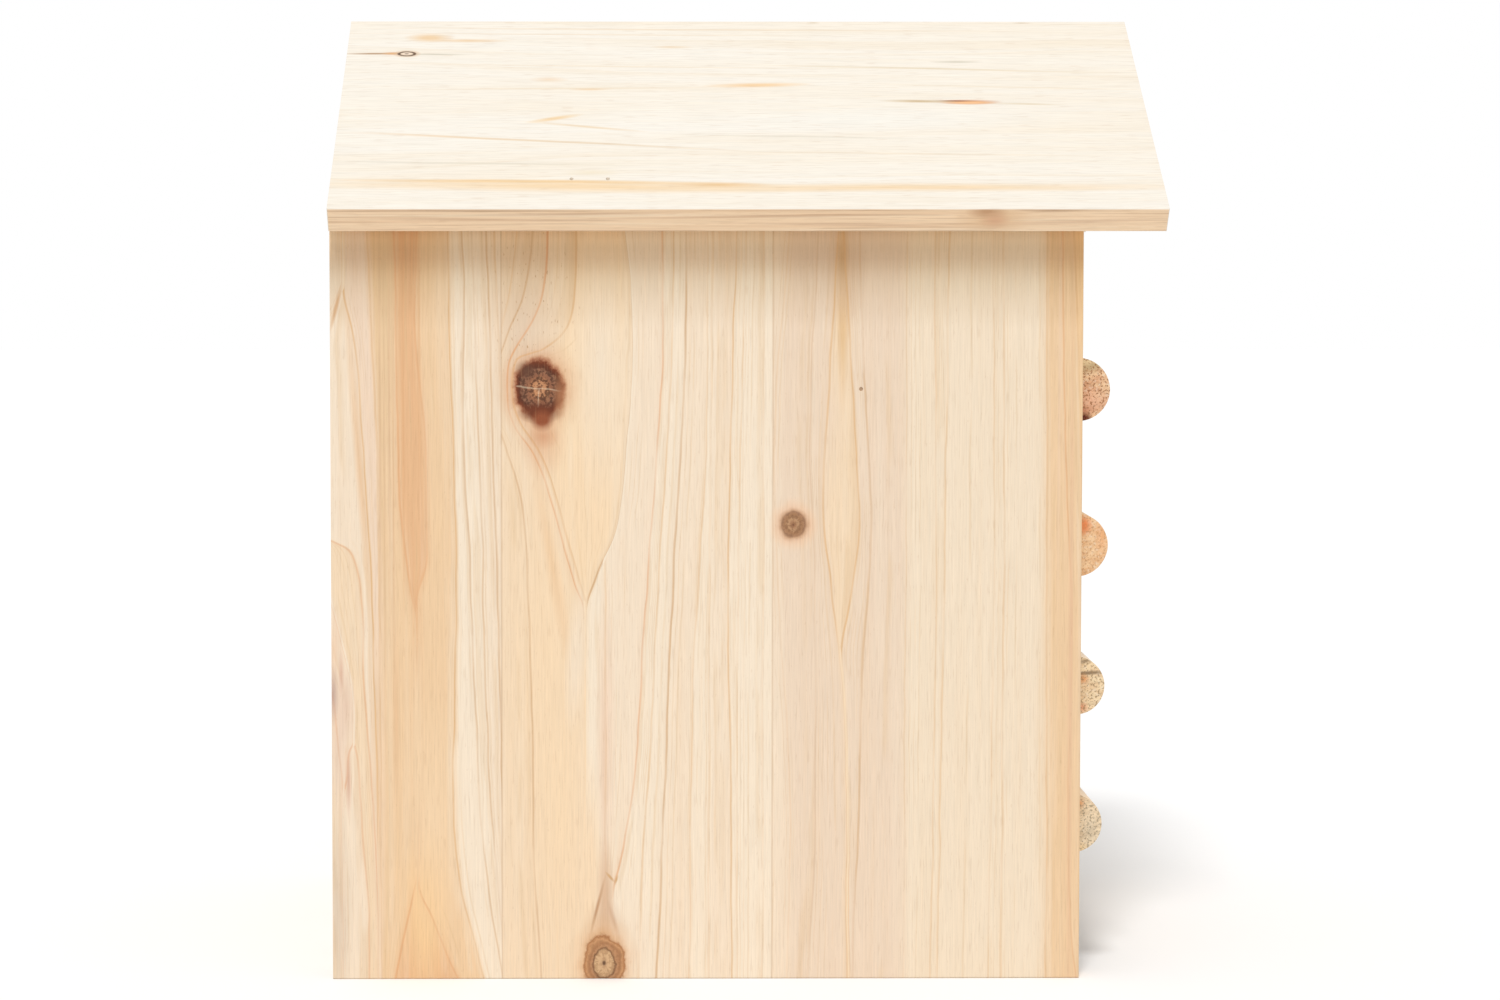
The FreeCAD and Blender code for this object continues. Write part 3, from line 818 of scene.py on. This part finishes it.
def grain_level(look, fibre):
    """How much lighter or darker the fibres make the wood, around 1."""
    return 1.0 + (fibre["Fibre"] - 0.5) * look.fibre_contrast


def wood_roughness(fibre, end, rougher):
    """The roughness of the wood, which differs from fibre to fibre and is higher on its ends."""
    return fibre["Fibre"] * 0.16 + 0.55 + end * rougher


def finish_wood(board, colour, look, fibre, grain_way):
    """Fibre, flecks, darker open end grain and the bump of planed fir."""
    colour = board.mix(colour, DARK_LATE, fibre["Fleck"] * 0.13)
    end = faces(board, grain_way)
    colour = board.mix(colour, TAN, end * 0.45)
    colour = board.scaled(colour, grain_level(look, fibre) - end * 0.08)
    finish_surface(board, colour, wood_roughness(fibre, end, 0.15), fibre["Fibre"], look.fibre_relief)


def board_finish(name, look, make):
    """A plain fir board. make: its axes, seed, rings and pith, and what it has of cuts between its
    staves, knots, and colours and a tone of its own."""
    material, board = new_finish(name)
    along, across, depth, grain_way = make["axes"](board)
    cuts, knots, seed = make.get("cuts", ()), make.get("knots", ()), make["seed"]
    stave, stave_seed, pith_side = 0.0, seed, 0.0
    for cut in cuts:
        stave = board.math("GREATER_THAN", across, cut) + stave
    if cuts:
        stave_seed = stave * 7.3 + seed
        pith_side = board.math("SINE", stave * 2.4 + seed) * PITH_SPREAD
    bulge = 0.0
    for knot in knots:
        reach = board.root_of_squares((along - knot["along"]) / (knot["long"] * 3.2),
                                      (across - knot["across"]) / (knot["wide"] * 2.0))
        bulge = board.between(reach, 1.0, 0.0) * 2.6 + bulge
    late = growth_rings(board, {
        "Along": along, "Across": across, "Depth": depth,
        "Pith Across": pith_side + make.get("pith_across", 0.0), "Pith Depth": make["pith_depth"],
        "Ring Width": make["ring"], "Wander": 14.0, "Taper": make.get("taper", 0.04), "Bulge": bulge,
        "Seed": stave_seed,
    })
    fibre = fibres(board, along, across, depth, stave_seed)
    warmth = fibre["Tone"] * make.get("tone", 0.8)
    colour = board.mix(make.get("pale", CREAM), make.get("warm", SAND), warmth)
    colour = board.mix(colour, make.get("late", LATE), late * 0.34)
    colour = knots_over(board, colour, along, across, knots)
    colour = seamed(board, colour, across, cuts, 0.4, 0.25)
    finish_wood(board, colour, look, fibre, grain_way)
    return material


def upright_along_x(board):
    """Axes of a side board: grain up, across from back to front."""
    x, y, z = place_mm(board)
    return z, x - BACK_FACE, y, (0, 0, 1)


def upright_along_y(board):
    """Axes of a back, front or roost board: grain up, across from side to side."""
    x, y, z = place_mm(board)
    return z, y, x, (0, 0, 1)


def down_roof(side):
    """Axes of a roof board: grain along the ridge, across from the eave up the slope."""
    def axes(board):
        x, y, z = place_mm(board)
        inward, upward = y * side - EAVE_Y, z - EAVE_Z
        up_slope = upward * math.sin(ROOF_PITCH) + inward * math.cos(ROOF_PITCH)
        depth = upward * math.cos(ROOF_PITCH) - inward * math.sin(ROOF_PITCH)
        return x, up_slope, depth, (1, 0, 0)
    return axes


def bar_finish(name, look, middle_z, wood):
    """One bar: rough-sawn speckled ends and a smooth round side. wood: its row of BAR_WOODS."""
    material, board = new_finish(name)
    x, y, z = place_mm(board)
    across, depth, seed = z - middle_z, x - FRONT_FACE, wood["seed"]
    pith_across, pith_depth = wood["pith"]
    late = growth_rings(board, {
        "Along": y, "Across": across, "Depth": depth, "Pith Across": pith_across, "Pith Depth": pith_depth,
        "Ring Width": wood["ring"], "Wander": 3.0, "Seed": seed,
    })
    fibre = fibres(board, y, across, depth, seed)
    end = faces(board, (0, 1, 0))
    colour = board.mix(wood["pale"], wood["warm"], fibre["Tone"])
    colour = board.mix(colour, LATE, late * 0.4)
    speck = board.noise(across * 1.15, depth * 1.15, seed, detail=2, roughness=0.6)
    fluff = board.noise(across * 0.8, depth * 0.8, seed + 9, detail=1)
    band = board.noise(across * 0.3, depth * 0.12, seed + 4, detail=1)
    sawn = board.mix(wood["end"], wood["end_warm"], board.between(band, 0.38, 0.62))
    sawn = board.mix(sawn, wood["end_dark"], late * 0.30)
    sawn = board.tint(sawn, WHITE_WOOD, fluff, 0.54, 0.68, 0.45)
    sawn = painted(board, sawn, board.point(across, depth, 0.0), wood["patches"])
    sawn = board.tint(sawn, wood["end_dark"], speck, 0.53, 0.61, wood["specks"])
    colour = board.scaled(board.mix(colour, sawn, end), grain_level(look, fibre))
    height = fibre["Fibre"] * (1.0 - end) + speck * end * 5.0
    finish_surface(board, colour, wood_roughness(fibre, end, 0.25), height, look.fibre_relief)
    return material


def pin_finish(name, bright, dark):
    """Dull steel of the pins, stained by the wood round them."""
    material, board = new_finish(name)
    x, y, z = place_mm(board)
    stain = board.noise(x * 1.5, y * 1.5, z * 1.5, detail=3)
    colour = board.mix(bright, dark, stain)
    finish_surface(board, colour, stain * 0.25 + 0.45, stain, 0.03, specular=0.5, metallic=0.5)
    return material


def shape_tree(name, *numbers):
    """The board of an empty geometry tree, and its inputs by name: some numbers and a material."""
    tree = bpy.data.node_groups.new(name, "GeometryNodeTree")
    for title in numbers:
        tree.interface.new_socket(title, in_out="INPUT", socket_type="NodeSocketFloat")
    tree.interface.new_socket("Material", in_out="INPUT", socket_type="NodeSocketMaterial")
    tree.interface.new_socket("Geometry", in_out="OUTPUT", socket_type="NodeSocketGeometry")
    board = Workboard(tree)
    return board, board.outputs(tree.nodes.new("NodeGroupInput"))


def closed_tree(board, shape, material):
    """Ends a geometry tree: real meshes with their material."""
    shape = board.node("GeometryNodeRealizeInstances", {"Geometry": shape})
    shape = board.node("GeometryNodeSetMaterial", {"Geometry": shape, "Material": material})
    board.place("NodeGroupOutput", {"Geometry": shape})
    return board.tree


def bar_tree():
    """A turned rod, a little out of true, sawn off at its ends and flat where it meets the front."""
    board, given = shape_tree("half_round_bar", "Radius", "Depth", "Length", "Height", "Front", "Wander",
                              "Saw Relief", "Seed")
    radius, front, height = given["Radius"], given["Front"], given["Height"]
    middle = front + given["Depth"] - radius
    rod = board.node("GeometryNodeMeshCylinder", {
        "Vertices": 80, "Side Segments": 70, "Fill Segments": 9, "Radius": radius, "Depth": given["Length"],
    })
    rod = board.node("GeometryNodeTransform", {
        "Geometry": rod, "Translation": board.point(middle, 0.0, height),
        "Rotation": (math.pi / 2, 0.0, 0.0),
    })
    x, y, z = board.split(board.node("GeometryNodeInputPosition", {}))
    per_mm = 1 / MM
    turned = board.noise(y * (0.03 * per_mm) + given["Seed"], x * (0.09 * per_mm), z * (0.09 * per_mm))
    pull = board.math("MULTIPLY", turned * given["Wander"] / radius, -1.0)
    end_gap = board.math("ABSOLUTE", board.math("ABSOLUTE", y) - given["Length"] * 0.5)
    at_end = board.math("LESS_THAN", end_gap, END_REACH * MM)
    sawn = board.noise(x * (0.5 * per_mm), z * (0.9 * per_mm), given["Seed"], detail=2)
    sawn = sawn * given["Saw Relief"] * at_end
    shift = board.point((x - middle) * pull, board.math("MULTIPLY", board.math("SIGN", y) * sawn, -1.0),
                        (z - height) * pull)
    rod = board.node("GeometryNodeSetPosition", {"Geometry": rod, "Offset": shift})
    x, y, z = board.split(board.node("GeometryNodeInputPosition", {}))
    flat = board.point(board.math("MAXIMUM", x, front), y, z)
    rod = board.node("GeometryNodeSetPosition", {"Geometry": rod, "Position": flat})
    x, y, _ = board.split(board.node("GeometryNodeInputNormal", {}))
    off_ends = board.math("LESS_THAN", board.math("ABSOLUTE", y), 0.5)
    turned_face = off_ends * board.math("GREATER_THAN", x, -0.7)
    rod = board.node("GeometryNodeSetShadeSmooth", {"Geometry": rod, "Shade Smooth": turned_face})
    return closed_tree(board, rod, given["Material"])


def pin_tree():
    """A row of headless pins driven through a bar, seen as small discs."""
    board, given = shape_tree("bar_pin_row", "Radius", "Length", "Spacing", "Height", "Crest")
    length, spacing = given["Length"], given["Spacing"]
    pin = board.node("GeometryNodeMeshCylinder", {
        "Vertices": 20, "Radius": given["Radius"], "Depth": length,
    })
    row = board.node("GeometryNodeMeshLine", {
        "Count": 2, "Offset": board.point(0.0, spacing, 0.0),
        "Start Location": board.point(given["Crest"] - length * 0.5, spacing * -0.5, given["Height"]),
    })
    pins = board.node("GeometryNodeInstanceOnPoints", {
        "Points": row, "Instance": pin, "Rotation": (0.0, math.pi / 2, 0.0),
    })
    return closed_tree(board, pins, given["Material"])


def added(name, data):
    """A new object in the scene."""
    thing = bpy.data.objects.new(name, data)
    bpy.context.scene.collection.objects.link(thing)
    return thing


def grown(name, tree, values):
    """The plain mesh that a geometry tree makes from its inputs by name, as a new object."""
    maker = added(name + "_maker", bpy.data.meshes.new(name + "_seed"))
    modifier = maker.modifiers.new("shape", "NODES")
    modifier.node_group = tree
    for item in tree.interface.items_tree:
        if item.in_out == "INPUT":
            modifier[item.identifier] = values[item.name]
    ready = maker.evaluated_get(bpy.context.evaluated_depsgraph_get())
    mesh = bpy.data.meshes.new_from_object(ready)
    mesh.name = name
    maker.modifiers.clear()
    bpy.data.objects.remove(maker)
    return added(name, mesh)


def dress(node, material):
    """Gives a carried-over node its finish."""
    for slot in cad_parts[node].material_slots:
        slot.material = material


class FirLook(bpy.types.PropertyGroup):
    """The finish that all the fir boards share."""

    fibre_contrast: bpy.props.FloatProperty(
        name="Fibre Contrast", description="How much lighter and darker the fine fibres are",
        default=0.26, min=0.0, max=1.0, subtype="FACTOR")
    fibre_relief: bpy.props.FloatProperty(
        name="Fibre Relief", description="Depth of the fibres left by the planer, in millimetres",
        default=0.05, min=0.0, max=1.0)


class BarMake(bpy.types.PropertyGroup):
    """The half-round bars on the front."""

    wander: bpy.props.FloatProperty(
        name="Wander", description="How far a bar's round side strays from true, in millimetres",
        default=0.35, min=0.0, max=1.0)
    saw_relief: bpy.props.FloatProperty(
        name="Saw Relief", description="Depth of the saw's marks on the bar ends, in millimetres",
        default=0.30, min=0.0, max=1.0)
    pin_radius: bpy.props.FloatProperty(
        name="Pin Radius", description="Radius of a headless pin, in millimetres",
        default=0.65, min=0.3, max=3.0)
    pin_length: bpy.props.FloatProperty(
        name="Pin Length", description="Length of a pin through a bar, in millimetres",
        default=18.0, min=5.0, max=19.0)


class StageMake(bpy.types.PropertyGroup):
    """The floor's colour and the light."""

    floor_colour: bpy.props.FloatVectorProperty(
        name="Floor Colour", description="Colour of the plain floor",
        subtype="COLOR", size=3, default=(0.97, 0.97, 0.97), min=0.0, max=1.0)
    fill: bpy.props.FloatProperty(
        name="Fill", description="Brightness of the even light from all round", default=0.72, min=0.0)
    key: bpy.props.FloatProperty(
        name="Key", description="Strength of the soft lamp above the near side", default=1.30, min=0.0)


class BATHOUSE_OT_side_panels(bpy.types.Operator):
    """Finishes the two side panels, each glued of three staves"""

    bl_idname = "bathouse.side_panels"
    bl_label = "Side Panels"

    def execute(self, context):
        look = context.scene.bathouse_fir
        dress("side_panel_left", near_panel_finish(look))
        dress("side_panel_right", board_finish("fir_far_side", look, {
            "axes": upright_along_x, "cuts": (92.0, 188.0), "seed": 11.0, "ring": 4.2, "pith_depth": 20.0,
            "knots": (
                {"along": 150.0, "across": 48.0, "long": 6.5, "wide": 5.5, "paint": SMALL_KNOT},
                {"along": 70.0, "across": 214.0, "long": 9.0, "wide": 7.5, "paint": PALE_KNOT},
            ),
        }))
        return {"FINISHED"}


class BATHOUSE_OT_gable_boards(bpy.types.Operator):
    """Finishes the front and back boards with their gables"""

    bl_idname = "bathouse.gable_boards"
    bl_label = "Gable Boards"

    def execute(self, context):
        look = context.scene.bathouse_fir
        dress("front_board", board_finish("fir_front", look, {
            "axes": upright_along_y, "cuts": (-12.0,), "seed": 21.0, "ring": 3.6, "pith_depth": 60.0,
            "knots": ({"along": 262.0, "across": 31.0, "long": 5.5, "wide": 4.8, "paint": SMALL_KNOT},),
        }))
        dress("back_board", board_finish("fir_back", look, {
            "axes": upright_along_y, "cuts": (24.0,), "seed": 33.0, "ring": 4.0, "pith_depth": -210.0,
            "warm": TAN, "tone": 0.55,
            "knots": ({"along": 96.0, "across": -38.0, "long": 7.5, "wide": 6.5, "paint": DARK_KNOT},),
        }))
        return {"FINISHED"}


class BATHOUSE_OT_roof(bpy.types.Operator):
    """Finishes the two roof boards"""

    bl_idname = "bathouse.roof"
    bl_label = "Roof Boards"

    def execute(self, context):
        look = context.scene.bathouse_fir
        dress("roof_board_left", near_roof_finish(look))
        dress("roof_board_right", board_finish("fir_far_roof", look, {
            "axes": down_roof(-1), "seed": 57.0, "ring": 5.0, "pith_depth": -30.0, "pith_across": 45.0,
            "pale": ROOF_PALE, "warm": ROOF_WARM, "late": (0.78, 0.61, 0.42), "taper": 0.03,
            "knots": ({"along": 62.0, "across": 74.0, "long": 5.0, "wide": 3.4, "paint": SMALL_KNOT},),
        }))
        return {"FINISHED"}


class BATHOUSE_OT_roosts(bpy.types.Operator):
    """Finishes the grooved roost boards inside"""

    bl_idname = "bathouse.roosts"
    bl_label = "Roost Boards"

    def execute(self, context):
        look = context.scene.bathouse_fir
        for number, node in enumerate(ROOSTS):
            low, _ = box_mm(node)
            dress(node, board_finish(f"fir_roost_{number + 1}", look, {
                "axes": upright_along_y, "seed": 60.0 + 5 * number, "ring": 3.2 + 0.3 * (number % 3),
                "pith_depth": low.x - 40 - 9 * number, "pith_across": 30.0 - 14 * number,
                "pale": PALE, "warm": TAN, "tone": 0.7,
            }))
        return {"FINISHED"}


class BATHOUSE_OT_bars(bpy.types.Operator):
    """Makes the four half-round bars across the front"""

    bl_idname = "bathouse.bars"
    bl_label = "Bars"

    def execute(self, context):
        look, make = context.scene.bathouse_fir, context.scene.bathouse_bars
        tree = bar_tree()
        for number, node in enumerate(BARS):
            low, high = box_mm(node)
            middle = (low.z + high.z) / 2
            bar = grown(f"half_round_{number + 1}", tree, {
                "Radius": (high.z - low.z) / 2 * MM, "Depth": (high.x - low.x) * MM,
                "Length": (high.y - low.y) * MM, "Height": middle * MM, "Front": low.x * MM,
                "Wander": make.wander * MM, "Saw Relief": make.saw_relief * MM, "Seed": 3.7 * number,
                "Material": bar_finish(f"fir_bar_{number + 1}", look, middle, BAR_WOODS[number]),
            })
            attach(bar, BODY)
            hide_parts(node)
        return {"FINISHED"}


class BATHOUSE_OT_pins(bpy.types.Operator):
    """Makes the pins of the bars and finishes the ones in the roof and sides"""

    bl_idname = "bathouse.pins"
    bl_label = "Pins"

    def execute(self, context):
        make = context.scene.bathouse_bars
        steel = pin_finish("pin_steel", (0.30, 0.25, 0.20), (0.17, 0.14, 0.11))
        dress("roof_pins", steel)
        dress("roost_pins", pin_finish("sunk_pin", (0.72, 0.53, 0.37), (0.54, 0.38, 0.25)))
        tree = pin_tree()
        low, high = box_mm("bar_pins")
        for number, node in enumerate(BARS):
            bar_low, bar_high = box_mm(node)
            pins = grown(f"bar_pin_row_{number + 1}", tree, {
                "Radius": make.pin_radius * MM, "Length": make.pin_length * MM,
                "Spacing": (high.y - low.y - 2 * make.pin_radius) * MM,
                "Height": (bar_low.z + bar_high.z) / 2 * MM, "Crest": (bar_high.x - 0.25) * MM,
                "Material": steel,
            })
            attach(pins, BODY)
            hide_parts("bar_pins")
        return {"FINISHED"}


class BATHOUSE_OT_stage(bpy.types.Operator):
    """Makes the pale floor, the soft light and the camera"""

    bl_idname = "bathouse.stage"
    bl_label = "Stage"

    def execute(self, context):
        make = context.scene.bathouse_stage
        context.scene.view_settings.view_transform = "Standard"
        self.floor(tuple(make.floor_colour))
        self.light(context.scene, make)
        self.camera(context.scene)
        return {"FINISHED"}

    def floor(self, pale):
        """A plain floor that sends less light up than the camera sees in it."""
        mesh = bpy.data.meshes.new("floor")
        corners = [(-1, -1), (1, -1), (1, 1), (-1, 1)]
        mesh.from_pydata([(x * FLOOR_HALF, y * FLOOR_HALF, 0) for x, y in corners], [], [(0, 1, 2, 3)])
        material, board = new_finish("plain_floor")
        seen = board.outputs(board.place("ShaderNodeLightPath", {}))["Is Camera Ray"]
        surface = board.node("ShaderNodeBsdfDiffuse", {"Color": board.mix(FLOOR_BOUNCE, pale, seen)})
        board.place("ShaderNodeOutputMaterial", {"Surface": surface})
        mesh.materials.append(material)
        floor = added("floor", mesh)

    def light(self, scene, make):
        """Even light from all round, white where it is seen itself, and one soft lamp."""
        scene.world = bpy.data.worlds.new("soft_room")
        board = cleared(scene.world)
        rays = board.outputs(board.place("ShaderNodeLightPath", {}))
        seen = board.math("MAXIMUM", rays["Is Camera Ray"], rays["Is Glossy Ray"])
        seen = board.math("MAXIMUM", seen, rays["Is Transmission Ray"])
        level = board.node("ShaderNodeMix", {0: seen, 2: make.fill, 3: 1.0}, data_type="FLOAT")
        glow = board.node("ShaderNodeBackground", {"Color": (1.0, 1.0, 1.0), "Strength": level})
        board.place("ShaderNodeOutputWorld", {"Surface": glow})
        lamp = bpy.data.lights.new("key", "SUN")
        lamp.energy = make.key
        lamp.angle = math.radians(KEY_SPREAD)
        added("key", lamp).rotation_euler = Vector(KEY_FROM).to_track_quat("Z", "Y").to_euler()

    def camera(self, scene):
        data = bpy.data.cameras.new("camera")
        data.lens = CAMERA_LENS
        data.sensor_width = CAMERA_SENSOR
        data.shift_x, data.shift_y = CAMERA_SHIFT
        data.clip_start = 0.01
        scene.camera = added("camera", data)
        scene.camera.location = Vector(CAMERA_PLACE) * MM
        scene.camera.rotation_euler = (math.radians(90 - CAMERA_DOWN), 0.0, math.radians(-CAMERA_RIGHT))


class BATHOUSE_PT_panel(bpy.types.Panel):
    """The bat house's pieces, in the sidebar"""

    bl_idname = "BATHOUSE_PT_panel"
    bl_label = "Bat House"
    bl_space_type = "VIEW_3D"
    bl_region_type = "UI"
    bl_category = "Bat House"

    def draw(self, context):
        for title in GROUPS:
            group = getattr(context.scene, title)
            column = self.layout.column(align=True)
            for name in group.__annotations__:
                column.prop(group, name)
        for operator in OPERATORS:
            self.layout.operator(operator.bl_idname)


GROUPS = {"bathouse_fir": FirLook, "bathouse_bars": BarMake, "bathouse_stage": StageMake}
OPERATORS = (
    BATHOUSE_OT_side_panels,
    BATHOUSE_OT_gable_boards,
    BATHOUSE_OT_roof,
    BATHOUSE_OT_roosts,
    BATHOUSE_OT_bars,
    BATHOUSE_OT_pins,
    BATHOUSE_OT_stage,
)


def register():
    for name, group in GROUPS.items():
        bpy.utils.register_class(group)
        setattr(bpy.types.Scene, name, bpy.props.PointerProperty(type=group))
    for shown in (*OPERATORS, BATHOUSE_PT_panel):
        bpy.utils.register_class(shown)


def unregister():
    for shown in (BATHOUSE_PT_panel, *reversed(OPERATORS)):
        bpy.utils.unregister_class(shown)
    for name, group in GROUPS.items():
        delattr(bpy.types.Scene, name)
        bpy.utils.unregister_class(group)


def main():
    register()
    bpy.ops.bathouse.side_panels()
    bpy.ops.bathouse.gable_boards()
    bpy.ops.bathouse.roof()
    bpy.ops.bathouse.roosts()
    bpy.ops.bathouse.bars()
    bpy.ops.bathouse.pins()
    bpy.ops.bathouse.stage()


if __name__ == "__main__":
    main()
